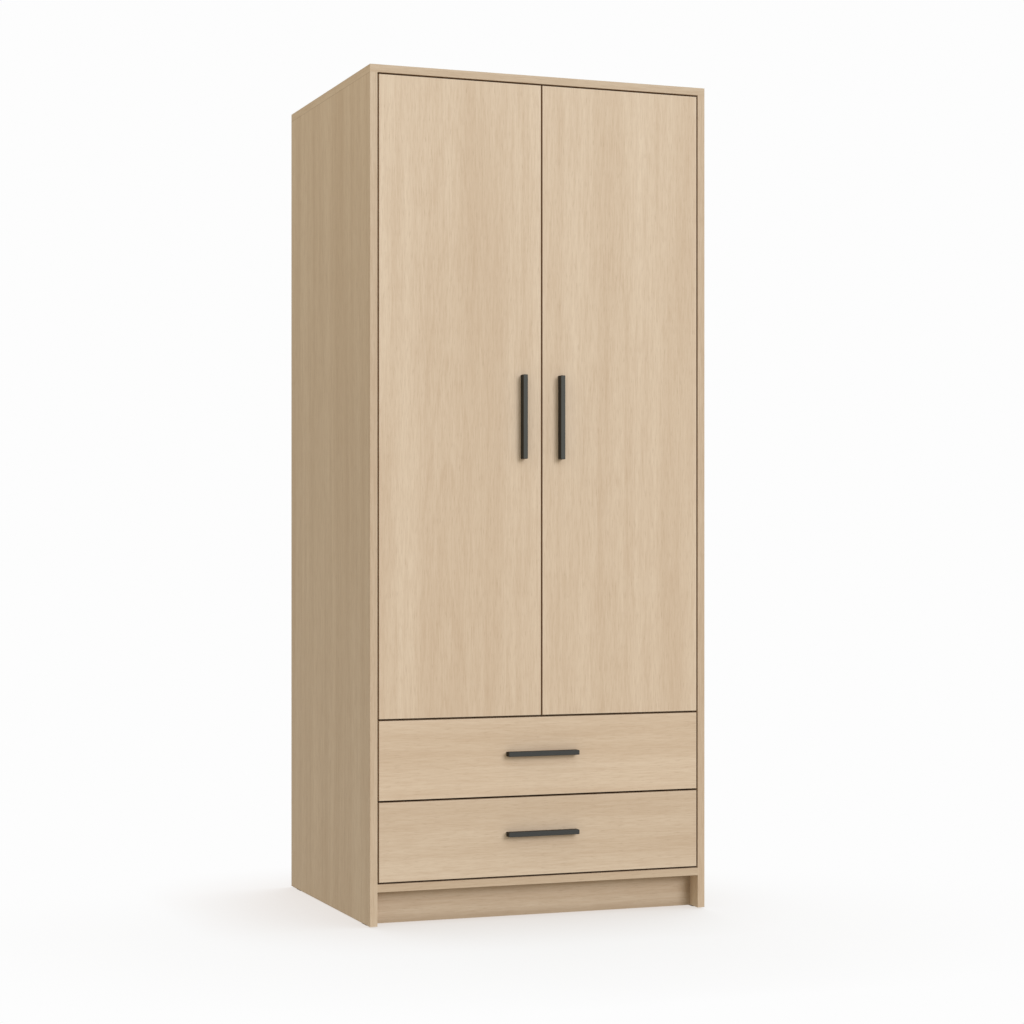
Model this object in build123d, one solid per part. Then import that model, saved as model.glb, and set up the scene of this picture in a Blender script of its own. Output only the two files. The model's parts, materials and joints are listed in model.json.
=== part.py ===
from build123d import *
import os
from collections import defaultdict

os.makedirs("parts", exist_ok=True)

# Armoire: two inset doors over two inset drawers. Millimetres, +Z up, front towards -Y,
# origin on the floor under the middle of the bounding box.

# Overall size
width = 760.0
height = 1785.0
carcass_depth = 620.0

# Boards
carcass_board = 16.0
front_board = 16.0
drawer_board = 12.0
back_board = 3.0
drawer_bottom_board = 3.0
edge_chamfer = 0.8

# Front layout
plinth_height = 73.0
plinth_recess = 40.0
level_gap = 3.5
upright_gap = 3.0
drawer_front_height = 165.5

# Inside of the carcass
divider_setback = 18.0
divider_drop = 2.0
hat_shelf_space = 283.0
hat_shelf_setback = 45.0
hat_shelf_fit = 0.5
back_inset = 10.0
back_groove = 6.0
back_entry = 5.0
back_fit = 0.2
strip_web = 2.0
strip_flange = 24.0
strip_sheet = 1.2

# Glides under the side panels
glide_height = 2.5
glide_width = 12.0
glide_length = 40.0
glide_inset = 52.0
glide_chamfer = 0.8

# Handles: solid bars with rounded corners and front edges
handle_width = 10.0
handle_depth = 17.0
handle_corner = 1.5
handle_rounding = 1.0
door_handle_length = 178.0
door_handle_spacing = 160.0
door_handle_offset = 42.5
door_handle_drop = 36.0
drawer_handle_length = 160.0
drawer_handle_spacing = 128.0
drawer_handle_rise = 6.0
handle_screw_entry = 12.0

# Cup hinges: distances u inwards from the side panel, v back from the front plane
hinge_inset = 100.0
hinge_count = 3
cup_bore = 35.0
cup_edge = 5.0
cup_depth = 12.4
cup_sheet = 0.7
cup_corner = 2.0
cup_clearance = 0.1
cup_flange = 1.2
cup_flange_rim = 1.5
cup_wing_length = 58.0
cup_wing_width = 16.0
cup_wing_corner = 4.0
cup_screw_spacing = 45.0
cup_screw_offset = 9.5
pivot_u = 16.0
pivot_v = 7.3
pin_radius = 1.5
pin_clearance = 0.3
eye_radius = 2.6
lug_gap = 2.5
lug_sheet = 2.0
lug_reach = 3.0
arm_width = 12.0
arm_sheet = 2.5
arm_bend = 2.5
arm_hook_u = 33.0
arm_return_v = 29.0
arm_end_v = 86.0
arm_screw_v = 76.0
arm_screw_entry = 5.0
plate_height = 6.0
plate_width = 16.0
plate_start_v = 34.0
plate_length = 56.0
plate_corner = 2.0
plate_wing_height = 3.0
plate_wing_length = 44.0
plate_wing_depth = 14.0
plate_wing_corner = 5.0
plate_screw_v = 53.0
plate_screw_spacing = 32.0

# Clothes rail
rail_radius = 12.5
rail_wall = 1.2
rail_drop = 62.0
rail_end_gap = 3.0
rail_fit = 0.15
rail_collar = 3.0
rail_collar_length = 12.0
rail_flange_radius = 26.0
rail_flange_sheet = 2.5
rail_screw_spacing = 40.0

# Hat shelf pins
pin_shank_radius = 2.5
pin_depth = 10.0
pin_reach = 9.0
pin_tab_width = 9.0
pin_tab_sheet = 3.0
pin_tab_corner = 3.0
pin_inset = 60.0

# Wall brackets under the top panel
bracket_spread = 500.0
bracket_width = 24.0
bracket_leg = 34.0
bracket_sheet = 2.0
bracket_bend = 3.0
bracket_hole_radius = 2.75
bracket_hole_drop = 22.0
bracket_way_radius = 4.0

# Panel fixings
cam_radius = 7.5
cam_depth = 12.5
cam_setback = 34.0
bolt_radius = 3.0
bolt_entry = 11.0
dowel_radius = 4.0
dowel_length = 30.0
dowel_entry = 10.0
fixing_inset = 60.0
dowel_step = 32.0
rail_dowel_share = 0.3
hole_fit = 0.1

# Screws: shank radius, head radius, head height
wood_screw = (1.75, 3.3, 1.2)
wood_screw_length = 12.0
side_screw_length = 35.0
sole_screw_length = 10.0
handle_screw = (2.0, 4.0, 2.4)
arm_screw = (2.0, 3.6, 1.6)

# Drawer boxes and roller runners: u inwards from the side panel
drawer_length = 490.0
drawer_side_height = 120.0
drawer_edge = 1.0
drawer_groove_rise = 10.0
drawer_groove = 5.0
drawer_groove_fit = 0.2
runner_space = 12.5
runner_rise = 9.0
runner_sheet = 1.2
runner_bend = 1.2
runner_setback = 2.0
runner_play = 1.0
runner_sole = 12.0
runner_sole_rise = 2.0
roller_radius = 11.5
roller_width = 7.0
roller_chamfer = 0.8
roller_gap = 0.3
roller_inset = 16.0
axle_radius = 3.0
axle_head_radius = 4.5
axle_head = 0.8
axle_end_u = 1.8
flange_end_u = 2.4
runner_screw_inset = 60.0
runner_screw_rise = 5.4
drawer_cam_radius = 6.0
drawer_cam_depth = 9.5
drawer_cam_setback = 25.0
drawer_fixing_inset = 30.0

# Planes shared by the pieces
half = width / 2
inner = half - carcass_board
y_front = (handle_depth - carcass_depth) / 2
y_back = y_front + carcass_depth
y_door_back = y_front + front_board
y_groove = y_back - back_inset - back_board - back_fit
side_top = height - carcass_board
bottom_top = plinth_height + carcass_board
lower_front_low = bottom_top + level_gap
upper_front_low = lower_front_low + drawer_front_height + level_gap
door_low = upper_front_low + drawer_front_height + level_gap
door_high = side_top - level_gap
divider_top = door_low - divider_drop
divider_low = divider_top - carcass_board
hat_shelf_low = side_top - hat_shelf_space - carcass_board
door_width = (2 * inner - 3 * upright_gap) / 2
sides = ((-1, "left"), (1, "right"))

# Turns that send a round piece along each way, and planes that sections are drawn on
AIM = {
    ("x", 1): Rot(0, 0, -90),
    ("x", -1): Rot(0, 0, 90),
    ("y", 1): Rot(0, 0, 0),
    ("y", -1): Rot(0, 0, 180),
    ("z", 1): Rot(90, 0, 0),
    ("z", -1): Rot(-90, 0, 0),
}
SECTION = {"x": (Plane.YZ, 1), "y": (Plane.XZ, -1), "z": (Plane.XY, 1)}
cuts = defaultdict(list)


def block(x, y, z):
    """Board or cut between pairs of limits, given in any order."""
    spans = [(min(pair), max(pair)) for pair in (x, y, z)]
    middle = [(low + high) / 2 for low, high in spans]
    return Pos(*middle) * Box(*[high - low for low, high in spans])


def run(axis, section, start, end):
    """Section run along an axis from start to end; it is drawn in the other two axes, in their order."""
    plane, way = SECTION[axis]
    return extrude(plane.offset(way * start) * section, way * (end - start))


def bent(sheet, bend, *corners):
    """Section of a bent sheet, from the corners of its middle line and the radius of its bends."""
    return trace(FilletPolyline(*corners, radius=bend), sheet)


def turned(axis, start, way, *outline):
    """Round piece about an axis; its outline gives the distance along the axis and the radius."""
    section = make_face(Polyline(*[(radius, along) for along, radius in outline], close=True))
    return Pos(*start) * AIM[axis, way] * revolve(section, Axis.Y)


def rod(axis, start, length, radius):
    """Cylinder from a start point along one axis; a negative length runs the other way."""
    way = 1 if length > 0 else -1
    return turned(axis, start, way, (0, 0), (0, radius), (abs(length), radius), (abs(length), 0))


def peg(axis, joint, way, held, entry, radius):
    """Cylinder across a joint, held on one side of it and entering the other."""
    return turned(axis, joint, way, (-held, 0), (-held, radius), (entry, radius), (entry, 0))


def screw(axis, seat, length, size):
    """Screw with a pan head on its seat; a negative length runs the other way."""
    shank, head, rise = size
    way = 1 if length > 0 else -1
    pan = ((-rise, 0), (-rise, head), (0, head))
    return turned(axis, seat, way, *pan, (0, shank), (abs(length), shank), (abs(length), 0))


def screw_hole(axis, seat, length, size):
    """Hole for the shank of a screw."""
    reach = length + (hole_fit if length > 0 else -hole_fit)
    return rod(axis, seat, reach, size[0] + hole_fit)


def inset(side, u):
    """X of a point u inwards from the inner face of a side panel."""
    return side * (inner - u)


def save(name, solids):
    """Cut the collected holes and write one node."""
    solids = solids if isinstance(solids, list) else [solids]
    if cuts[name]:
        solids = [solids[0] - cuts[name]]
    shape = solids[0] if len(solids) == 1 else Compound(label=name, children=solids)
    export_step(shape, f"parts/{name}.step")


# Carcass panels
panels = {}
groove_y = (y_groove, y_groove + back_board + back_fit)
for side, name in sides:
    panels[f"{name}_side_panel"] = block(
        (side * inner, side * half), (y_front, y_back), (glide_height, side_top)
    )
    cuts[f"{name}_side_panel"].append(
        block((side * inner, side * (inner + back_groove)), groove_y, (glide_height, side_top))
    )
panels["top_panel"] = block((-half, half), (y_front, y_back), (side_top, height))
cuts["top_panel"].append(
    block((-inner - back_groove, inner + back_groove), groove_y, (side_top, side_top + back_groove))
)
panels["bottom_panel"] = block((-inner, inner), (y_front, y_groove), (plinth_height, bottom_top))
panels["divider_panel"] = block(
    (-inner, inner), (y_front + divider_setback, y_groove), (divider_low, divider_top)
)
rails = {"plinth": y_front + plinth_recess, "rear_rail": y_groove - carcass_board}
for name, y in rails.items():
    panels[name] = block((-inner, inner), (y, y + carcass_board), (glide_height, plinth_height))

# Cam locks, cam bolts and dowels that join the panels
cam_locks = []
cam_bolts = []
dowels = []


def add_dowel(axis, joint, way, entered, holder):
    """Dowel across a joint: held by one panel and entering the other."""
    held = dowel_length - dowel_entry
    dowels.append(peg(axis, joint, way, held, dowel_entry, dowel_radius))
    radius = dowel_radius + hole_fit
    cuts[entered].append(rod(axis, joint, way * (dowel_entry + hole_fit), radius))
    cuts[holder].append(rod(axis, joint, -way * (held + hole_fit), radius))


def add_cam(axis, face, length, panel):
    """Cam lock in a panel, with its bore."""
    cam_locks.append(rod(axis, face, length, cam_radius))
    reach = length + (hole_fit if length > 0 else -hole_fit)
    cuts[panel].append(rod(axis, face, reach, cam_radius + hole_fit))


def add_bolt(axis, joint, way, entered, holder):
    """Cam bolt across a joint: screwed into one panel, and held by the cam of the other."""
    shank = cam_setback - cam_radius
    radius = bolt_radius + hole_fit
    cam_bolts.append(peg(axis, joint, way, shank, bolt_entry, bolt_radius))
    cuts[holder].append(rod(axis, joint, -way * shank, radius))
    cuts[entered].append(rod(axis, joint, way * (bolt_entry + hole_fit), radius))


for side, name in sides:
    side_panel = f"{name}_side_panel"
    x_mid = side * (inner + carcass_board / 2)
    for y, step in ((y_front + fixing_inset, 1), (y_groove - fixing_inset, -1)):
        add_cam("x", (side * inner, y, side_top - cam_setback), side * cam_depth, side_panel)
        add_bolt("z", (x_mid, y, side_top), 1, "top_panel", side_panel)
        add_dowel("z", (x_mid, y + step * dowel_step, side_top), 1, "top_panel", side_panel)
    for panel, low in (("bottom_panel", plinth_height), ("divider_panel", divider_low)):
        z_mid = low + carcass_board / 2
        for y, step in ((y_front + 2 * fixing_inset, 1), (y_groove - fixing_inset, -1)):
            add_cam("z", (inset(side, cam_setback), y, low), cam_depth, panel)
            add_bolt("x", (side * inner, y, z_mid), side, side_panel, panel)
            add_dowel("x", (side * inner, y + step * dowel_step, z_mid), side, side_panel, panel)
    for rail, y in rails.items():
        for share in (rail_dowel_share, 1 - rail_dowel_share):
            z = glide_height + share * (plinth_height - glide_height)
            add_dowel("x", (side * inner, y + carcass_board / 2, z), side, side_panel, rail)

# Back: two thin halves held in the grooves and joined by an H-section strip
for side, name in sides:
    panels[f"back_panel_{name}"] = block(
        (side * strip_web / 2, side * (inner + back_entry)),
        (y_groove, y_groove + back_board),
        (plinth_height, side_top + back_entry),
    )
y_web = y_groove + back_board / 2
strip = Pos(0, y_web) * Rectangle(strip_web, back_board)
for way in (-1, 1):
    strip += Pos(0, y_web + way * (back_board + strip_sheet) / 2) * Rectangle(strip_flange, strip_sheet)
save("back_joint_strip", run("z", strip, bottom_top, side_top))
strip_room = strip_flange / 2 + strip_sheet
cuts["divider_panel"].append(
    block((-strip_room, strip_room), (y_groove - 2 * strip_sheet, y_groove), (divider_low, divider_top))
)

# Hat shelf on four pins
hat_shelf_back = y_groove - 2 * strip_sheet
hat_shelf = block(
    (-inner + hat_shelf_fit, inner - hat_shelf_fit),
    (y_front + hat_shelf_setback, hat_shelf_back),
    (hat_shelf_low, hat_shelf_low + carcass_board),
)
save("hat_shelf", hat_shelf)
shelf_pins = []
for side, name in sides:
    for y in (y_front + hat_shelf_setback + pin_inset, hat_shelf_back - pin_inset):
        start = (side * inner, y, hat_shelf_low - pin_shank_radius)
        tab = block(
            (side * inner, inset(side, pin_reach)),
            (y - pin_tab_width / 2, y + pin_tab_width / 2),
            (hat_shelf_low - pin_tab_sheet, hat_shelf_low),
        )
        tip = tab.edges().filter_by(Axis.Z).sort_by(lambda edge: abs(edge.center().X))[:2]
        tab = fillet(tip, pin_tab_corner)
        shelf_pins.append(rod("x", start, side * pin_depth, pin_shank_radius) + tab)
        cuts[f"{name}_side_panel"].append(
            rod("x", start, side * (pin_depth + hole_fit), pin_shank_radius + hole_fit)
        )
save("shelf_pins", shelf_pins)

# Clothes rail between two flanged sockets
carcass_screws = []
rail_y = y_front + carcass_depth / 2
rail_z = hat_shelf_low - rail_drop
rail_length = 2 * (inner - rail_end_gap)
save(
    "clothes_rail",
    turned(
        "x",
        (-rail_length / 2, rail_y, rail_z),
        1,
        (0, rail_radius - rail_wall),
        (0, rail_radius),
        (rail_length, rail_radius),
        (rail_length, rail_radius - rail_wall),
    ),
)
rail_brackets = []
for side, name in sides:
    socket_end = rail_flange_sheet + rail_collar_length
    socket = turned(
        "x",
        (side * inner, rail_y, rail_z),
        -side,
        (0, 0),
        (0, rail_flange_radius),
        (rail_flange_sheet, rail_flange_radius),
        (rail_flange_sheet, rail_radius + rail_collar),
        (socket_end, rail_radius + rail_collar),
        (socket_end, rail_radius + rail_fit),
        (rail_end_gap, rail_radius + rail_fit),
        (rail_end_gap, 0),
    )
    for turn in (-1, 1):
        seat = (inset(side, rail_flange_sheet), rail_y, rail_z + turn * rail_screw_spacing / 2)
        carcass_screws.append(screw("x", seat, side * wood_screw_length, wood_screw))
        hole = screw_hole("x", seat, side * wood_screw_length, wood_screw)
        cuts[f"{name}_side_panel"].append(hole)
        socket -= hole
    rail_brackets.append(socket)
save("rail_brackets", rail_brackets)

# Wall brackets: a leg under the top panel and a leg on the back with the wall screw's hole
wall_brackets = []
leg_section = bent(
    bracket_sheet,
    bracket_bend,
    (y_groove - bracket_leg, side_top - bracket_sheet / 2),
    (y_groove - bracket_sheet / 2, side_top - bracket_sheet / 2),
    (y_groove - bracket_sheet / 2, side_top - bracket_leg),
)
for side, name in sides:
    x = side * bracket_spread / 2
    leg = run("x", leg_section, x - bracket_width / 2, x + bracket_width / 2)
    wall_hole = (x, y_groove - bracket_sheet, side_top - bracket_hole_drop)
    leg -= rod("y", wall_hole, bracket_sheet, bracket_hole_radius)
    cuts[f"back_panel_{name}"].append(
        rod("y", (x, y_groove, wall_hole[2]), back_board, bracket_way_radius)
    )
    seat = (x, y_groove - bracket_hole_drop, side_top - bracket_sheet)
    hole = screw_hole("z", seat, wood_screw_length, wood_screw)
    carcass_screws.append(screw("z", seat, wood_screw_length, wood_screw))
    cuts["top_panel"].append(hole)
    wall_brackets.append(leg - hole)
save("wall_brackets", wall_brackets)

# Glides under the ends of the side panels
glides = []
for side, name in sides:
    x = side * (inner + carcass_board / 2)
    for y in (y_front + glide_inset, y_back - glide_inset):
        glide = run("z", Pos(x, y) * SlotOverall(glide_length, glide_width, rotation=90), 0, glide_height)
        glides.append(chamfer(glide.faces().sort_by(Axis.Z)[0].edges(), glide_chamfer))
save("foot_glides", glides)


def make_handle(axis, centre, length, spacing, panel):
    """Bar handle on a front board: returns the bar, and the screws that hold it from behind."""
    lie = "xyz".index(axis)
    outline = (length, handle_width) if axis == "x" else (handle_width, length)
    section = Pos(centre[0], centre[2]) * RectangleRounded(*outline, handle_corner)
    bar = run("y", section, y_front - handle_depth, y_front)
    bar = fillet(bar.faces().sort_by(Axis.Y)[0].edges(), handle_rounding)
    screws = []
    for end in (-1, 1):
        seat = list(centre)
        seat[lie] += end * spacing / 2
        seat[1] = y_door_back
        screw_reach = -front_board - handle_screw_entry
        hole = screw_hole("y", seat, screw_reach, handle_screw)
        screws.append(screw("y", seat, screw_reach, handle_screw))
        cuts[panel].append(hole)
        bar -= hole
    return bar, screws


def make_front(x, z):
    """Front board between pairs of limits, with a small chamfer round its face."""
    board = block(x, (y_front, y_door_back), z)
    return chamfer(board.faces().sort_by(Axis.Y)[0].edges(), edge_chamfer)


# Places on the cup hinges
cup_u = upright_gap + cup_edge + cup_bore / 2
y_floor = y_door_back - cup_depth + cup_sheet
y_flange = y_door_back + cup_flange
y_pin = y_front + pivot_v
pin_half = arm_width / 2 + lug_gap + lug_sheet


def make_cup(side, name, z):
    """Hinge cup in its bore: returns the cup with its winged flange and the lugs that hold the pin,
    the pin, and the two screws."""
    door = f"{name}_door_panel"
    x_cup = inset(side, cup_u)
    x_pin = inset(side, pivot_u)
    cup_radius = cup_bore / 2 - cup_clearance
    mouth = (x_cup, y_door_back, z)
    cuts[door].append(rod("y", mouth, -cup_depth - cup_clearance, cup_bore / 2))

    bowl_radius = cup_radius - cup_sheet
    floor_depth = cup_depth - cup_sheet
    cup = turned(
        "y",
        mouth,
        -1,
        (-cup_flange, bowl_radius),
        (floor_depth - cup_corner, bowl_radius),
        (floor_depth, bowl_radius - cup_corner),
        (floor_depth, 0),
        (cup_depth, 0),
        (cup_depth, cup_radius - cup_corner),
        (cup_depth - cup_corner, cup_radius),
        (0, cup_radius),
        (0, cup_bore / 2 + cup_flange_rim),
        (-cup_flange, cup_bore / 2 + cup_flange_rim),
    )
    wings = Pos(x_cup - side * cup_wing_width / 2, z) * RectangleRounded(
        cup_wing_width, cup_wing_length, cup_wing_corner
    )
    wings -= Pos(x_cup, z) * Circle(bowl_radius)
    cup += run("y", wings, y_door_back, y_flange)
    lug = Pos(x_pin, (y_floor + y_pin) / 2) * Rectangle(2 * lug_reach, y_pin - y_floor)
    lug += Pos(x_pin, y_pin) * Circle(lug_reach)
    for turn in (-1, 1):
        cup += run("z", lug, z + turn * (pin_half - lug_sheet), z + turn * pin_half)
    pin = rod("z", (x_pin, y_pin, z - pin_half), 2 * pin_half, pin_radius)
    cup -= pin

    screws = []
    for turn in (-1, 1):
        seat = (x_cup - side * cup_screw_offset, y_flange, z + turn * cup_screw_spacing / 2)
        hole = screw_hole("y", seat, -wood_screw_length, wood_screw)
        screws.append(screw("y", seat, -wood_screw_length, wood_screw))
        cuts[door].append(hole)
        cup -= hole
    return cup, pin, screws


def make_arm(side, z):
    """Hinge arm: one bent strip from its eye on the pin, round the edge of the open door, to the plate."""
    x_pin = inset(side, pivot_u)
    x_hook = inset(side, arm_hook_u)
    x_rear = inset(side, plate_height + arm_sheet / 2)
    y_return = y_front + arm_return_v
    section = bent(
        arm_sheet,
        arm_bend,
        (x_pin, y_pin),
        (x_hook, y_pin),
        (x_hook, y_return),
        (x_rear, y_return),
        (x_rear, y_front + arm_end_v),
    )
    section += Pos(x_pin, y_pin) * Circle(eye_radius)
    section -= Pos(x_pin, y_pin) * Circle(pin_radius + pin_clearance)
    return run("z", section, z - arm_width / 2, z + arm_width / 2)


def make_plate(side, z):
    """Cross-shaped mounting plate: a raised bar under the arm and two wings for the screws."""
    y_bar = y_front + plate_start_v + plate_length / 2
    bar = Pos(y_bar, z) * RectangleRounded(plate_length, plate_width, plate_corner)
    wings = Pos(y_front + plate_screw_v, z) * RectangleRounded(
        plate_wing_depth, plate_wing_length, plate_wing_corner
    )
    face = side * inner
    return run("x", bar, face, inset(side, plate_height)) + run(
        "x", wings, face, inset(side, plate_wing_height)
    )


# Doors with handles and cup hinges
hinge_plates = []
hinge_arms = []
hinge_step = (door_high - door_low - 2 * hinge_inset) / (hinge_count - 1)
for side, name in sides:
    door_name = f"{name}_door_panel"
    hinge_edge = inset(side, upright_gap)
    handle_at = (side * door_handle_offset, y_front, (door_low + door_high) / 2 - door_handle_drop)
    handle, handle_screws = make_handle(
        "z", handle_at, door_handle_length, door_handle_spacing, door_name
    )
    cups = []
    pins = []
    cup_screws = []
    for index in range(hinge_count):
        z = door_low + hinge_inset + index * hinge_step
        cup, pin, screws = make_cup(side, name, z)
        cups.append(cup)
        pins.append(pin)
        cup_screws += screws
        arm = make_arm(side, z)
        plate = make_plate(side, z)
        arm_seat = (inset(side, plate_height + arm_sheet), y_front + arm_screw_v, z)
        arm_screw_length = side * (arm_sheet + arm_screw_entry)
        arm_hole = screw_hole("x", arm_seat, arm_screw_length, arm_screw)
        carcass_screws.append(screw("x", arm_seat, arm_screw_length, arm_screw))
        plate -= arm_hole
        for turn in (-1, 1):
            seat = (
                inset(side, plate_wing_height),
                y_front + plate_screw_v,
                z + turn * plate_screw_spacing / 2,
            )
            hole = screw_hole("x", seat, side * wood_screw_length, wood_screw)
            carcass_screws.append(screw("x", seat, side * wood_screw_length, wood_screw))
            cuts[f"{name}_side_panel"].append(hole)
            plate -= hole
        hinge_plates.append(plate)
        hinge_arms.append(arm - arm_hole)
    save(f"{name}_door_handle", handle)
    save(f"{name}_door_handle_screws", handle_screws)
    save(f"{name}_hinge_cups", cups)
    save(f"{name}_hinge_pins", pins)
    save(f"{name}_cup_screws", cup_screws)
    save(door_name, make_front((hinge_edge, hinge_edge - side * door_width), (door_low, door_high)))
save("hinge_plates", hinge_plates)
save("hinge_arms", hinge_arms)

# Places on the drawers and their runners
box_half = inner - runner_space
box_inner = box_half - drawer_board
y_box_back = y_door_back + drawer_length
roller_rise = runner_sheet + roller_gap + roller_radius
flange_rise = roller_rise + roller_radius + roller_gap
channel_height = flange_rise + 2 * runner_sheet + runner_play
web_u = runner_space - runner_sheet
reach_u = web_u - runner_play
y_runner = y_door_back + runner_setback
y_front_roller = y_runner + roller_inset
y_rear_roller = y_box_back - roller_inset


def make_axle(face, way, length):
    """Riveted axle that stands on a runner and ends in a flat head."""
    return turned(
        "x",
        face,
        way,
        (0, 0),
        (0, axle_radius),
        (length - axle_head, axle_radius),
        (length - axle_head, axle_head_radius),
        (length, axle_head_radius),
        (length, 0),
    )


def make_roller(face, way):
    """Roller with chamfered rims and a bore that is free on its axle."""
    bore = axle_radius + roller_gap
    return turned(
        "x",
        face,
        way,
        (0, bore),
        (0, roller_radius - roller_chamfer),
        (roller_chamfer, roller_radius),
        (roller_width - roller_chamfer, roller_radius),
        (roller_width, roller_radius - roller_chamfer),
        (roller_width, bore),
    )


def make_cabinet_runner(side, name, base):
    """Channel on the side panel with the front roller's axle: returns it and its roller."""
    middle = runner_sheet / 2
    section = bent(
        runner_sheet,
        runner_bend,
        (inset(side, reach_u), base + channel_height - middle),
        (inset(side, middle), base + channel_height - middle),
        (inset(side, middle), base + middle),
        (inset(side, reach_u), base + middle),
    )
    channel = run("y", section, y_runner, y_box_back)
    axle_at = (inset(side, runner_sheet), y_front_roller, base + roller_rise)
    channel += make_axle(axle_at, -side, reach_u - runner_sheet)
    for y in (y_runner + runner_screw_inset, (y_runner + y_box_back) / 2, y_box_back - runner_screw_inset):
        seat = (inset(side, runner_sheet), y, base + runner_screw_rise)
        hole = screw_hole("x", seat, side * wood_screw_length, wood_screw)
        carcass_screws.append(screw("x", seat, side * wood_screw_length, wood_screw))
        cuts[f"{name}_side_panel"].append(hole)
        channel -= hole
    roller_at = (inset(side, reach_u - axle_head - roller_gap), y_front_roller, base + roller_rise)
    return channel, make_roller(roller_at, side)


def make_drawer_runner(side, base, box_low, box_side, drawer_screws):
    """Z-section under the drawer's side with the rear roller's axle: returns it and its roller."""
    middle = runner_sheet / 2
    section = bent(
        runner_sheet,
        runner_bend,
        (inset(side, flange_end_u), base + flange_rise + middle),
        (inset(side, web_u + middle), base + flange_rise + middle),
        (inset(side, web_u + middle), box_low - middle),
        (inset(side, runner_space + runner_sole), box_low - middle),
    )
    member = run("y", section, y_runner, y_box_back)
    axle_at = (inset(side, web_u), y_rear_roller, base + roller_rise)
    member += make_axle(axle_at, side, web_u - axle_end_u)
    for y in (y_runner + runner_screw_inset, y_box_back - runner_screw_inset):
        seat = (side * (box_half - drawer_board / 2), y, box_low - runner_sheet)
        hole = screw_hole("z", seat, sole_screw_length, wood_screw)
        drawer_screws.append(screw("z", seat, sole_screw_length, wood_screw))
        cuts[box_side].append(hole)
        member -= hole
    roller_at = (inset(side, axle_end_u + axle_head + roller_gap), y_rear_roller, base + roller_rise)
    return member, make_roller(roller_at, -side)


def join_box(side, level, box_side, z, drawer_cams, drawer_screws):
    """Cam and bolt from a drawer's side to its front, and the screw from that side into its back."""
    shank = drawer_cam_setback - drawer_cam_radius
    radius = bolt_radius + hole_fit
    cam_at = (side * box_inner, y_door_back + drawer_cam_setback, z)
    drawer_cams.append(rod("x", cam_at, side * drawer_cam_depth, drawer_cam_radius))
    cuts[box_side].append(
        rod("x", cam_at, side * (drawer_cam_depth + hole_fit), drawer_cam_radius + hole_fit)
    )
    joint = (side * (box_inner + drawer_board / 2), y_door_back, z)
    drawer_cams.append(peg("y", joint, -1, shank, bolt_entry, bolt_radius))
    cuts[box_side].append(rod("y", joint, shank, radius))
    cuts[f"{level}_drawer_front"].append(rod("y", joint, -bolt_entry - hole_fit, radius))
    seat = (side * box_half, y_box_back - drawer_board / 2, z + drawer_fixing_inset / 2)
    hole = screw_hole("x", seat, -side * side_screw_length, wood_screw)
    drawer_screws.append(screw("x", seat, -side * side_screw_length, wood_screw))
    cuts[box_side].append(hole)
    cuts[f"{level}_drawer_back"].append(hole)


# Drawers on roller runners
for level, front_low in (("lower", lower_front_low), ("upper", upper_front_low)):
    front_name = f"{level}_drawer_front"
    front_high = front_low + drawer_front_height
    base = front_low + runner_rise
    box_low = base + runner_sole_rise
    box_high = box_low + drawer_side_height
    bottom_low = box_low + drawer_groove_rise
    bottom_high = bottom_low + drawer_bottom_board
    front_half = inner - upright_gap
    bottom_half = box_inner + drawer_groove
    groove_z = (bottom_low, bottom_high + drawer_groove_fit)
    bottom_front = y_door_back - drawer_groove

    handle_at = (0, y_front, (front_low + front_high) / 2 + drawer_handle_rise)
    handle, drawer_screws = make_handle(
        "x", handle_at, drawer_handle_length, drawer_handle_spacing, front_name
    )
    cuts[front_name].append(block((-bottom_half, bottom_half), (bottom_front, y_door_back), groove_z))
    drawer_cams = []
    cabinet_runners = []
    drawer_runners = []
    front_rollers = []
    rear_rollers = []
    for side, name in sides:
        box_side = f"{level}_drawer_{name}_side"
        board = block((side * box_inner, side * box_half), (y_door_back, y_box_back), (box_low, box_high))
        board = chamfer(board.edges().filter_by(Axis.Y).group_by(Axis.Z)[0], drawer_edge)
        cuts[box_side].append(
            block((side * box_inner, side * bottom_half), (y_door_back, y_box_back), groove_z)
        )
        for z in (box_low + drawer_fixing_inset, box_high - drawer_fixing_inset):
            join_box(side, level, box_side, z, drawer_cams, drawer_screws)
        channel, front_roller = make_cabinet_runner(side, name, base)
        member, rear_roller = make_drawer_runner(side, base, box_low, box_side, drawer_screws)
        cabinet_runners.append(channel)
        drawer_runners.append(member)
        front_rollers.append(front_roller)
        rear_rollers.append(rear_roller)
        save(box_side, board)

    back = block((-box_inner, box_inner), (y_box_back - drawer_board, y_box_back), (bottom_high, box_high))
    bottom = block((-bottom_half, bottom_half), (bottom_front, y_box_back), (bottom_low, bottom_high))
    save(front_name, make_front((-front_half, front_half), (front_low, front_high)))
    save(f"{level}_drawer_back", back)
    save(f"{level}_drawer_bottom", bottom)
    save(f"{level}_drawer_handle", handle)
    save(f"{level}_drawer_cams", drawer_cams)
    save(f"{level}_drawer_screws", drawer_screws)
    save(f"{level}_drawer_runners", drawer_runners)
    save(f"{level}_cabinet_runners", cabinet_runners)
    save(f"{level}_front_rollers", front_rollers)
    save(f"{level}_rear_rollers", rear_rollers)

# Panels and fixings gathered above
for name, panel in panels.items():
    save(name, panel)
save("cam_locks", cam_locks)
save("cam_bolts", cam_bolts)
save("dowels", dowels)
save("carcass_screws", carcass_screws)
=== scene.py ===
"""Looks of a tall wardrobe with two doors over two drawers: oak-print boards, black bar handles,
and the fittings behind them. Lengths are in metres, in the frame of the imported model."""

import json
import math

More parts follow.
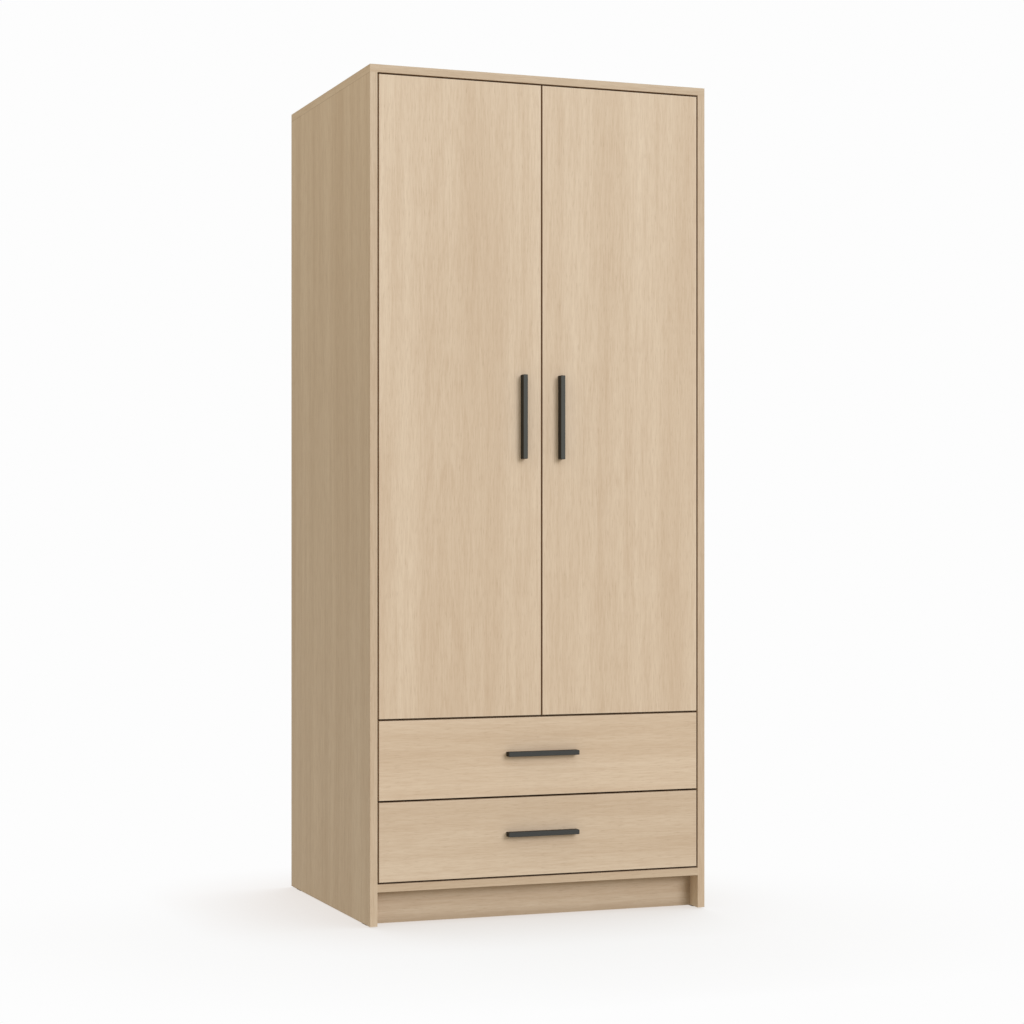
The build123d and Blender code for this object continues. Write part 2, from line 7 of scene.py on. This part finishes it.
import bmesh
import bpy
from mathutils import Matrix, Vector


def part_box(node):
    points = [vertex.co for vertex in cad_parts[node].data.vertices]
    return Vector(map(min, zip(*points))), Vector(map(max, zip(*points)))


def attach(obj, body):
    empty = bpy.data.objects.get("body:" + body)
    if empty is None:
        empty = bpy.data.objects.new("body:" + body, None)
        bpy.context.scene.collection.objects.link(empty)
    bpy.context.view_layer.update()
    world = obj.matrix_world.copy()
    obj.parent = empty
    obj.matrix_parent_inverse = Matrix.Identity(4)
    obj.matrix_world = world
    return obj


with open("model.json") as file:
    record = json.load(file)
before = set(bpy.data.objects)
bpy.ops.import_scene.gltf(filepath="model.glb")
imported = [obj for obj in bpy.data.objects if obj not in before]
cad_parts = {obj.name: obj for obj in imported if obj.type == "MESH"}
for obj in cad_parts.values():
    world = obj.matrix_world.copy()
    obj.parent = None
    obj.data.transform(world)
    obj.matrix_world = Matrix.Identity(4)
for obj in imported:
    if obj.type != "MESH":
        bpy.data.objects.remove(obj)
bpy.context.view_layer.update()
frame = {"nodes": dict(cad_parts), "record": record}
nodes = frame["nodes"]
scene = bpy.context.scene

# The photograph's view: a level camera with a long lens, low and to the left of the wardrobe
camera_place = Vector((-1.7988, -4.9393, 0.7986))
camera_turn = math.radians(-20.473)
camera_lens = 82.45
camera_sensor = 36.0
camera_rise = 0.02875

# Colours of the oak print, of its glue line, and of the painted shades and highlight laid on it, as
# display values out of 255
oak_sand = (219, 197, 169)
oak_tan = (208, 184, 155)
oak_brown = (184, 154, 122)
oak_pore = (150, 120, 90)
# Painted shade of the groove along the borders of the carcass boards' faces
oak_groove_shade = (146, 118, 88)
# Painted shade along the ends, top and foot of the plinth
plinth_painted_shade = (160, 132, 102)
# Painted highlight along the borders of the doors and drawer fronts
oak_painted_highlight = (240, 224, 200)
# Dark glue line at the border of the fronts, which also stands in for the shade in the gaps beside them
oak_glue_and_gap_shade = (104, 72, 40)

# Tints and tones that multiply a colour; some are painted shade, as noted
plain = (1.0, 1.0, 1.0)
carcass_edge = (0.885, 0.875, 0.855)
side_edges = {"left": (0.905, 0.90, 0.885), "right": (0.86, 0.83, 0.80)}
# Edge bands of the fronts, darker and warmer: their own tone, and painted shade for the gaps between the
# fronts
front_edge_and_gap_shade = (0.78, 0.67, 0.53)
# Painted shade: the handles darker on every face but the front
handle_side_shade = (0.36, 0.29, 0.24)
# Painted shade: the recessed plinth darker all over
plinth_shade_tone = 0.83
# Painted shade: the lower drawer front darker towards the floor, the upper one a touch lighter
drawer_front_shades = {"upper": 1.01, "lower": 0.955}
drawer_box_tone = 1.05

# Streaks of the oak print: width and length in metres, and the roughness of their noise
broad_streak = (0.085, 1.6)
band_streak = (0.024, 1.0)
line_streak = (0.0065, 0.12)
fibre_streak = (0.0026, 0.045)
pore_streak = (0.0011, 0.022)
streak_roughness = 0.55

# Stretch of each noise over which its streaks come up
broad_range = (0.22, 0.78)
band_range = (0.36, 0.72)
line_range = (0.40, 0.72)
fibre_range = (0.36, 0.70)
pore_range = (0.58, 0.72)

# Cover of the darker streaks and of the border lines (painted shade, painted highlight, and the glue
# line that also deepens the gaps), as a share of full cover
band_cover = 0.20
line_cover = 0.17
fibre_cover = 0.23
pore_cover = 0.22
rim_cover = 0.45
front_glue_and_gap_shade = 0.6

# Wavers of the grain: width, length and reach in metres
slow_waver = (0.5, 1.2, 0.03)
quick_waver = (0.05, 0.35, 0.003)

# Flames, the rings about a leaning heart: lengths in metres, and the late wood as shares of a ring
ring_step = 0.011
ring_waver = 0.8
heart_depth = 0.045
heart_slope = 0.045
flame_reach = (0.10, 0.02)
late_rise = (0.60, 0.92)
late_fall = (1.0, 0.94)
late_break = (0.25, 0.6)

# Relief and border lines of the boards in metres, the lines being painted shade, painted highlight and
# the glue line, and their sheen
pore_bump = 0.00008
rim_width = 0.0022
# Width of the painted shade along the plinth's borders
plinth_shade_width = 0.02
glue_and_gap_shade_width = 0.0011
rough_range = (0.2, 0.8)
oak_rough = (0.54, 0.64)
oak_sheen = 0.12

# Where each kind of board is cut from the print, as a shift along its grain, with steps between boards
side_cut = 3.1
door_cut = 0.4
door_cut_step = 1.7
shelf_cut = 5.3
plinth_cut = 9.7
front_cut = 12.3
front_cut_step = 1.3
box_cut = 2.2
box_cut_step = 4
back_cut = 6.1
drawer_bottom_cut = 1.2

# Hearts across the grain in metres, on doors and drawer fronts from their middles, and flame strengths
side_heart = 0.05
side_flame = 0.10
door_heart = -0.03
door_flames = {"left": 0.16, "right": 0.10}
shelf_heart = 0.1
front_heart = 0.2
box_heart = 0.5

# Hardboard: colours out of 255, its fibres and clouds, and the sheen of its two faces
hardboard_dark = (158, 123, 92)
hardboard_pale = (186, 151, 116)
hardboard_cloud = (138, 104, 75)
hardboard_cloud_cover = 0.18
hardboard_fibres = {"scale": 420.0, "detail": 4.0, "roughness": 0.7}
hardboard_fibre_range = (0.35, 0.65)
hardboard_clouds = {"scale": 9.0, "detail": 3.0}
hardboard_cloud_range = (0.4, 0.75)
hardboard_rough = 0.82
printed_rough = 0.58
hardboard_sheen = 0.2

# Fine-grained finishes: scale and share of their clouds, range of the noise, stray of the roughness
speckle_cloud_scale = 0.12
speckle_cloud_share = 0.4
speckle_range = (0.3, 0.7)
rough_stray = 0.05

# Least part of a surface's normal along an axis for it to count as facing that way
facing_least = 0.7
bare_least = 0.5

# Driver recesses: reach and half width as shares of the head's radius, and height in metres
cross_reach = 0.62
cross_arm = 0.15
cross_rise = 0.0001

# Reading the fasteners: tolerances in metres, and how alike the two widths of a round cam are
weld_gap = 1e-6
same_plane = 1e-5
least_head = 1e-4
round_share = 0.97

# Light: a warm studio, a soft key from the front right, a cool crown above, a warm fill on the left
backdrop = 0.982
studio_level = (0.555, 0.532, 0.470)
key_way = (0.40, -0.84, 0.37)
key_power = 1.56
key_colour = (0.965, 1.004, 1.125)
key_spread = math.radians(28)
crown_place = (0.4, -2.6, 3.3)
crown_target = (0, 0, 1.2)
crown_size = 1.6
crown_power = 14.0
crown_colour = (0.75, 1.05, 1.42)
fill_place = (-1.7, -0.5, 3.1)
fill_target = (-0.38, 0, 1.0)
fill_size = 1.0
fill_power = 7.5
fill_colour = (1.0, 0.95, 0.85)

# Floor: white, with a soft shade all round the wardrobe and a wider, fainter one before its front
floor_half = 30.0
floor_white = (253, 253, 253)
floor_grain_scale = 60.0
floor_grain = (0.97, 1.03)
shade_samples = 24
round_shade = (0.20, 0.27, 0.32)
round_reach = 0.36
round_way = (0.45, 0.0, 0.9)
front_shade = (0.155, 0.170, 0.195)
front_reach = 0.95
front_way = (0.25, 1.0, 0.25)


def linear(colour):
    """A display colour out of 255 as the linear colour that shaders take."""
    def channel(c):
        c = c / 255
        return c / 12.92 if c <= 0.04045 else ((c + 0.055) / 1.055) ** 2.4
    return tuple(channel(c) for c in colour) + (1.0,)


class Graph:
    """One material, made node by node. An input is a number, colour, vector or another node's output."""

    def __init__(self, name):
        self.material = bpy.data.materials.new(name)
        self.material.use_nodes = True
        self.nodes = self.material.node_tree.nodes
        self.links = self.material.node_tree.links
        self.nodes.clear()

    def node(self, kind, inputs=(), **settings):
        made = self.nodes.new("ShaderNode" + kind)
        for key, value in settings.items():
            setattr(made, key, value)
        for key, value in dict(inputs).items():
            self.put(made.inputs[key], value)
        return made

    def put(self, socket, value):
        if isinstance(value, bpy.types.NodeSocket):
            self.links.new(value, socket)
        else:
            socket.default_value = value

    def math(self, operation, *values):
        made = self.node("Math", operation=operation)
        for socket, value in zip(made.inputs, values):
            self.put(socket, value)
        return made.outputs[0]

    def parts(self, output):
        """The point on the piece ("Object") or the way its surface faces ("Normal"), axis by axis."""
        vector = self.node("TexCoord").outputs[output]
        return dict(zip("XYZ", self.node("SeparateXYZ", {0: vector}).outputs))

    def vector(self, x, y, z):
        return self.node("CombineXYZ", {0: x, 1: y, 2: z}).outputs[0]

    def noise(self, vector, scale=1.0, detail=2.0, roughness=0.5):
        settings = {"Vector": vector, "Scale": scale, "Detail": detail, "Roughness": roughness}
        return self.node("TexNoise", settings).outputs["Fac"]

    def span(self, value, low, high, start=0.0, end=1.0):
        """The value's stretch from low to high, smoothly brought to start and end."""
        inputs = {"Value": value, "From Min": low, "From Max": high, "To Min": start, "To Max": end}
        return self.node("MapRange", inputs, interpolation_type="SMOOTHSTEP").outputs["Result"]

    def pick(self, share, one, other):
        """A number between two others."""
        return self.math("ADD", one, self.math("MULTIPLY", share, self.math("SUBTRACT", other, one)))

    def blend(self, share, one, other, blend_type="MIX"):
        made = self.node("Mix", data_type="RGBA", blend_type=blend_type)
        self.put(made.inputs["Factor"], share)
        self.put(made.inputs["A"], one)
        self.put(made.inputs["B"], other)
        return made.outputs["Result"]

    def stain(self, colour, mask, strength, other):
        """Another colour laid over a colour where the mask is high."""
        return self.blend(self.math("MULTIPLY", mask, strength), colour, linear(other))

    def finish(self, inputs, height=None, depth=0.0, strength=0.4):
        """Closes the material with its surface, and with bumps as deep as depth says."""
        surface = self.node("BsdfPrincipled", inputs)
        if height is not None:
            bump = self.node("Bump", {"Height": height, "Distance": depth, "Strength": strength})
            self.put(surface.inputs["Normal"], bump.outputs[0])
        return self.close(surface)

    def close(self, surface):
        out = self.node("OutputMaterial")
        self.links.new(surface.outputs[0], out.inputs["Surface"])
        return self.material


def through(along, across):
    """The axis that a board's thickness lies on."""
    return ({"X", "Y", "Z"} - {along, across}).pop()


def oak_figure(g, along, across, shift, heart, flame):
    """Colour and relief of an oak print whose grain runs along one axis, and on the ends of the board
    along its edge band. Flames are the rings about a heart that lies behind the board and leans."""
    place = g.parts("Object")
    facing = g.parts("Normal")
    deep = place[through(along, across)]
    end = g.math("GREATER_THAN", g.math("ABSOLUTE", facing[along]), facing_least)
    length = g.math("ADD", g.pick(end, place[along], place[across]), shift)
    side = g.math("SUBTRACT", g.pick(end, place[across], deep), heart)

    def warp(side, wide, long, reach):
        stretched = g.vector(g.math("DIVIDE", side, wide), shift, g.math("DIVIDE", length, long))
        waver = g.math("SUBTRACT", g.noise(stretched, detail=1.0), 0.5)
        return g.math("ADD", side, g.math("MULTIPLY", waver, reach))

    side = warp(warp(side, *slow_waver), *quick_waver)

    def streaks(wide, long, detail=2.0):
        stretched = g.vector(g.math("DIVIDE", side, wide), g.math("DIVIDE", deep, wide),
                             g.math("DIVIDE", length, long))
        return g.noise(stretched, detail=detail, roughness=streak_roughness)

    broad = streaks(*broad_streak)
    bands = streaks(*band_streak)
    lines = streaks(*line_streak)
    fibre = streaks(*fibre_streak)
    pores = g.span(streaks(*pore_streak, detail=1.0), *pore_range)

    lean = g.math("ADD", g.math("MULTIPLY", length, heart_slope), heart_depth)
    ring = g.math("SQRT", g.math("ADD", g.math("POWER", side, 2), g.math("POWER", lean, 2)))
    waver = g.math("MULTIPLY", bands, ring_waver)
    ring = g.math("FRACT", g.math("ADD", g.math("DIVIDE", ring, ring_step), waver))
    late = g.math("MULTIPLY", g.span(ring, *late_rise), g.span(ring, *late_fall))
    late = g.math("MULTIPLY", late, g.span(g.math("ABSOLUTE", side), *flame_reach))
    late = g.math("MULTIPLY", late, g.span(fibre, *late_break))

    colour = g.blend(g.span(broad, *broad_range), linear(oak_sand), linear(oak_tan))
    colour = g.stain(colour, g.span(bands, *band_range), band_cover, oak_brown)
    colour = g.stain(colour, g.span(lines, *line_range), line_cover, oak_brown)
    colour = g.stain(colour, g.span(fibre, *fibre_range), fibre_cover, oak_brown)
    colour = g.stain(colour, late, flame, oak_brown)
    colour = g.stain(colour, pores, pore_cover, oak_pore)
    height = g.math("SUBTRACT", g.math("MULTIPLY", fibre, 0.5), g.math("MULTIPLY", pores, 0.5))
    return colour, height, fibre


def oak(name, along, across, shift, heart=0.0, flame=0.0, light=1.0, edge=plain, end=None, rim=oak_groove_shade,
        rim_reach=rim_width, glue_and_gap_shade=0.0):
    """Oak-print board. Light is the tone of its faces, a painted shade on the plinth and the drawer
    fronts;
    edge the tint of its edge bands, on the fronts also a painted shade for the gaps; end that of the
    bands across the grain where it differs; rim the colour of the painted line round its faces: shade of
    the border groove, a highlight on the fronts, a wide shade on the plinth; and glue_and_gap_shade the
    strength of the dark glue line at their very border, which also stands in for the shade in the gaps."""
    g = Graph(name)
    colour, height, fibre = oak_figure(g, along, across, shift, heart, flame)
    facing = g.parts("Normal")
    band = g.math("LESS_THAN", g.math("ABSOLUTE", facing[through(along, across)]), facing_least)
    place = g.parts("Object")
    low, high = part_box(name)
    inward = 1.0
    for axis in (along, across):
        spot = "XYZ".index(axis)
        inward = g.math("MINIMUM", inward, g.math("SUBTRACT", place[axis], low[spot]))
        inward = g.math("MINIMUM", inward, g.math("SUBTRACT", high[spot], place[axis]))
    face = g.math("SUBTRACT", 1.0, band)
    # Painted line round the faces, in the rim colour: shade on the carcass and plinth, highlight on the
    # fronts
    border = g.math("MULTIPLY", g.span(inward, rim_reach, 0.0), face)
    colour = g.stain(colour, border, rim_cover, rim)
    if glue_and_gap_shade:
        joint = g.math("MULTIPLY", g.span(inward, glue_and_gap_shade_width, 0.5 * glue_and_gap_shade_width), face)
        colour = g.stain(colour, joint, glue_and_gap_shade, oak_glue_and_gap_shade)
    tint = g.blend(band, plain + (1.0,), edge + (1.0,))
    if end:
        across_grain = g.math("GREATER_THAN", g.math("ABSOLUTE", facing[along]), facing_least)
        tint = g.blend(across_grain, tint, end + (1.0,))
    tint = g.blend(1.0, tint, (light, light, light, 1.0), "MULTIPLY")
    colour = g.blend(1.0, colour, tint, "MULTIPLY")
    rough = g.span(fibre, *rough_range, *oak_rough)
    inputs = {"Base Color": colour, "Roughness": rough, "Specular IOR Level": oak_sheen}
    return g.finish(inputs, height, pore_bump)


def printed_hardboard(name, along, across, shift, raw_axis, raw_way):
    """Hardboard with an oak print on one face; the other face shows its brown fibres."""
    g = Graph(name)
    colour, height = oak_figure(g, along, across, shift, 0.0, 0.0)[:2]
    point = g.node("TexCoord").outputs["Object"]
    mesh = g.noise(point, **hardboard_fibres)
    cloud = g.noise(point, **hardboard_clouds)
    raw = g.blend(g.span(mesh, *hardboard_fibre_range), linear(hardboard_dark), linear(hardboard_pale))
    raw = g.stain(raw, g.span(cloud, *hardboard_cloud_range), hardboard_cloud_cover, hardboard_cloud)
    outward = g.math("MULTIPLY", g.parts("Normal")[raw_axis], raw_way)
    bare = g.math("GREATER_THAN", outward, bare_least)
    colour = g.blend(bare, colour, raw)
    rough = g.pick(bare, printed_rough, hardboard_rough)
    inputs = {"Base Color": colour, "Roughness": rough, "Specular IOR Level": hardboard_sheen}
    return g.finish(inputs, g.pick(bare, height, mesh), pore_bump)


def speckled(name, low, high, grain, roughness, metallic=0.0, depth=0.00004, specular=0.5, side_shade=plain):
    """A fine-grained finish between two colours, with a bump of the same grain; side_shade darkens, as
    painted shade, what doesn't face the front."""
    g = Graph(name)
    point = g.node("TexCoord").outputs["Object"]
    fine = g.noise(point, 1 / grain, 3.0)
    wide = g.noise(point, speckle_cloud_scale / grain, 2.0)
    share = g.span(g.pick(speckle_cloud_share, fine, wide), *speckle_range)
    colour = g.blend(share, linear(low), linear(high))
    # Painted shade on every face that doesn't face the front
    if side_shade != plain:
        front = g.math("LESS_THAN", g.parts("Normal")["Y"], -facing_least)
        colour = g.blend(1.0, colour, g.blend(front, side_shade + (1.0,), plain + (1.0,)), "MULTIPLY")
    rough = g.span(wide, *speckle_range, roughness - rough_stray, roughness + rough_stray)
    inputs = {"Base Color": colour, "Roughness": rough, "Metallic": metallic,
              "Specular IOR Level": specular}
    return g.finish(inputs, fine, depth)


def studio_floor(name):
    """White sweep as bright as the backdrop, with the soft shade of what stands on it."""
    g = Graph(name)
    point = g.node("TexCoord").outputs["Object"]
    grain = g.span(g.noise(point, floor_grain_scale), 0.0, 1.0, *floor_grain)

    def shade(colour, reach, way, strength):
        aim = {"Distance": reach, "Normal": g.vector(*way)}
        open_share = g.node("AmbientOcclusion", aim, samples=shade_samples).outputs["AO"]
        dark = g.math("MULTIPLY", g.math("SUBTRACT", 1.0, open_share), grain)
        left = tuple(1 - s for s in strength) + (1.0,)
        return g.blend(dark, colour, g.blend(1.0, colour, left, "MULTIPLY"))

    colour = shade(linear(floor_white), round_reach, round_way, round_shade)
    colour = shade(colour, front_reach, front_way, front_shade)
    return g.close(g.node("Emission", {"Color": colour, "Strength": 1.0}))


def dress(node, material):
    """Gives every slot of a CAD piece this material."""
    slots = nodes[node].data.materials
    if not slots:
        slots.append(material)
    for index in range(len(slots)):
        slots[index] = material


def middle(node, axis):
    """Middle of a piece along one axis."""
    low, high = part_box(node)
    return (low[axis] + high[axis]) / 2


# Boards
for order, side in enumerate(("left", "right")):
    door = side + "_door_panel"
    panel = side + "_side_panel"
    dress(panel, oak(panel, "Z", "Y", side_cut + order, side_heart, side_flame, edge=side_edges[side]))
    dress(door, oak(door, "Z", "X", door_cut + door_cut_step * order, middle(door, 0) + door_heart,
                    door_flames[side], edge=front_edge_and_gap_shade, rim=oak_painted_highlight, glue_and_gap_shade=front_glue_and_gap_shade))
    back = "back_panel_" + side
    dress(back, printed_hardboard(back, "Z", "X", back_cut, "Y", 1))
for order, name in enumerate(("top_panel", "bottom_panel", "divider_panel", "hat_shelf")):
    dress(name, oak(name, "X", "Y", shelf_cut + order, shelf_heart, edge=carcass_edge, end=plain))
# The plinth and the rear rail get painted shade: darker all over, and more along their borders
for order, name in enumerate(("plinth", "rear_rail")):
    dress(name, oak(name, "X", "Z", plinth_cut + order, light=plinth_shade_tone, rim=plinth_painted_shade,
                    rim_reach=plinth_shade_width))
for order, level in enumerate(("upper", "lower")):
    name = level + "_drawer_front"
    dress(name, oak(name, "X", "Z", front_cut + front_cut_step * order, middle(name, 2) + front_heart,
                    light=drawer_front_shades[level], edge=front_edge_and_gap_shade, rim=oak_painted_highlight, glue_and_gap_shade=front_glue_and_gap_shade))
    for turn, board in enumerate(("left_side", "right_side", "back")):
        name = level + "_drawer_" + board
        along = "X" if board == "back" else "Y"
        dress(name, oak(name, along, "Z", box_cut + turn + box_cut_step * order, box_heart,
                        light=drawer_box_tone))
    name = level + "_drawer_bottom"
    dress(name, printed_hardboard(name, "X", "Y", drawer_bottom_cut + order, "Z", -1))

# Fittings
powder_coat = {"grain": 0.0006, "roughness": 0.55, "specular": 0.2, "side_shade": handle_side_shade}
finish_of_slot = {
    "handle_black": speckled("black_powder_coat", (66, 66, 60), (75, 74, 67), **powder_coat),
    "hinge_steel": speckled("nickel_plate", (196, 194, 190), (214, 212, 208), 0.004, 0.28, 1.0, 0.00001),
    "fixing_zinc": speckled("zinc_plate", (178, 180, 184), (206, 206, 204), 0.003, 0.36, 1.0, 0.00002),
    "rail_chrome": speckled("chrome_plate", (214, 215, 217), (226, 227, 228), 0.01, 0.12, 1.0, 0.000004),
    "runner_enamel": speckled("white_epoxy", (222, 220, 212), (232, 230, 223), 0.0015, 0.4),
    "roller_nylon": speckled("nylon", (232, 229, 219), (241, 239, 231), 0.002, 0.45),
    "glide_black": speckled("black_plastic", (34, 34, 34), (46, 46, 46), 0.0012, 0.6),
    "dowel_beech": speckled("beech", (206, 172, 128), (224, 194, 152), 0.002, 0.6),
    "strip_plastic": speckled("beige_plastic", (206, 184, 152), (214, 194, 163), 0.002, 0.5),
}
for name, piece in nodes.items():
    slot = piece.data.materials[0].name.split(".")[0] if piece.data.materials else ""
    if slot in finish_of_slot:
        dress(name, finish_of_slot[slot])
# Drawer handles: a darker copy of the handle coat, as painted shade
drawer_handle = speckled("shaded_powder_coat", (55, 55, 52), (63, 63, 59), **powder_coat)
for level in drawer_front_shades:
    dress(level + "_drawer_handle", drawer_handle)


# Driver recesses, as dark crosses that paint the shade inside the drivers' hollows
def solids(node):
    """Points of each separate solid of a CAD piece."""
    mesh = bmesh.new()
    mesh.from_mesh(nodes[node].data)
    bmesh.ops.remove_doubles(mesh, verts=mesh.verts[:], dist=weld_gap)
    mesh.verts.index_update()
    known = set()
    for first in mesh.verts:
        if first.index in known:
            continue
        known.add(first.index)
        island = [first]
        for vertex in island:
            for edge in vertex.link_edges:
                other = edge.other_vert(vertex)
                if other.index not in known:
                    known.add(other.index)
                    island.append(other)
        yield [vertex.co.copy() for vertex in island]
    mesh.free()


def driven_face(points):
    """Middle, axis, outward way and radius of the face that a driver turns; none on a plain bolt.
    A cam is wider than it is deep, and shows its face inwards or downwards. A screw has a head."""
    low = Vector([min(p[i] for p in points) for i in range(3)])
    high = Vector([max(p[i] for p in points) for i in range(3)])
    size = high - low
    thin, wide, axis = sorted(range(3), key=lambda i: size[i])
    face = (low + high) / 2
    if size[wide] > round_share * size[axis]:
        axis = thin
        way = -1 if axis == 2 or face[axis] > 0 else 1
        radius = size[wide] / 2
    else:
        def reach(end):
            ring = [p for p in points if abs(p[axis] - end[axis]) < same_plane]
            return max(abs(p[wide] - face[wide]) for p in ring)
        if abs(reach(high) - reach(low)) < least_head:
            return None
        way = 1 if reach(high) > reach(low) else -1
        radius = max(reach(high), reach(low))
    face[axis] = high[axis] if way > 0 else low[axis]
    return face, axis, way, radius


def add_cross(points, faces, face, axis, way, radius):
    """A flat cross, standing a hair proud of the driven face; its dark finish is painted shade of the
    hollow.
    """
    u, v = (axis + 1) % 3, (axis + 2) % 3
    if way < 0:
        u, v = v, u
    reach, half = radius * cross_reach, radius * cross_arm
    ring = []
    for corner in ((reach, -half), (reach, half), (half, half)) * 4:
        x, y = corner
        for turn in range(len(ring) // 3):
            x, y = -y, x
        ring.append((x, y))
    start, count = len(points), len(ring)
    for rise in (-cross_rise, cross_rise):
        for x, y in ring:
            point = face.copy()
            point[u] += x
            point[v] += y
            point[axis] += way * rise
            points.append(point)
    faces.append([start + i for i in reversed(range(count))])
    faces.append([start + count + i for i in range(count)])
    for i in range(count):
        j = (i + 1) % count
        faces.append([start + i, start + j, start + count + j, start + count + i])


# Dark finish of the crosses: painted shade of the recess hollows
recess_shade = speckled("driver_recess_shade", (44, 44, 46), (62, 62, 64), 0.001, 0.5)
for body, members in frame["record"]["behaviour"]["bodies"].items():
    for name in members:
        if not name.endswith(("_screws", "_cams", "cam_locks")):
            continue
        points, faces = [], []
        for solid in solids(name):
            driven = driven_face(solid)
            if driven:
                add_cross(points, faces, *driven)
        mesh = bpy.data.meshes.new(name + "_recess_shades")
        mesh.from_pydata(points, [], faces)
        mesh.materials.append(recess_shade)
        piece = bpy.data.objects.new(name + "_recess_shades", mesh)
        scene.collection.objects.link(piece)
        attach(piece, body)

# Floor
floor_mesh = bpy.data.meshes.new("floor")
corners = [(-floor_half, -floor_half, 0), (floor_half, -floor_half, 0),
           (floor_half, floor_half, 0), (-floor_half, floor_half, 0)]
floor_mesh.from_pydata(corners, [], [(0, 1, 2, 3)])
floor = bpy.data.objects.new("floor", floor_mesh)
scene.collection.objects.link(floor)
floor_mesh.materials.append(studio_floor("pale_floor"))
floor.visible_diffuse = False

# Light: the backdrop is white for the camera, and the studio around is warmer and dimmer
world = bpy.data.worlds.new("studio")
world.use_nodes = True
scene.world = world
tree = world.node_tree
seen = tree.nodes.new("ShaderNodeLightPath")
tint = tree.nodes.new("ShaderNodeMix")
tint.data_type = "RGBA"
tint.inputs["A"].default_value = studio_level + (1.0,)
tint.inputs["B"].default_value = (backdrop, backdrop, backdrop, 1.0)
tree.links.new(seen.outputs["Is Camera Ray"], tint.inputs["Factor"])
tree.links.new(tint.outputs["Result"], tree.nodes["Background"].inputs["Color"])


def lamp(name, kind, place, target, power, **settings):
    """A lamp that shines at a target and is out of the camera's sight."""
    data = bpy.data.lights.new(name, kind)
    data.energy = power
    for key, value in settings.items():
        setattr(data, key, value)
    made = bpy.data.objects.new(name, data)
    made.location = place
    made.rotation_euler = (Vector(target) - Vector(place)).to_track_quat("-Z", "Y").to_euler()
    made.visible_camera = False
    scene.collection.objects.link(made)


lamp("key", "SUN", key_way, (0, 0, 0), key_power, angle=key_spread, color=key_colour)
lamp("crown", "AREA", crown_place, crown_target, crown_power, shape="DISK", size=crown_size,
     color=crown_colour)
lamp("fill", "AREA", fill_place, fill_target, fill_power, shape="DISK", size=fill_size,
     color=fill_colour)

# Camera
camera_data = bpy.data.cameras.new("camera")
camera_data.lens = camera_lens
camera_data.sensor_width = camera_sensor
camera_data.shift_y = camera_rise
camera = bpy.data.objects.new("camera", camera_data)
camera.location = camera_place
camera.rotation_euler = (math.radians(90), 0, camera_turn)
scene.collection.objects.link(camera)
scene.camera = camera
scene.view_settings.view_transform = "Standard"
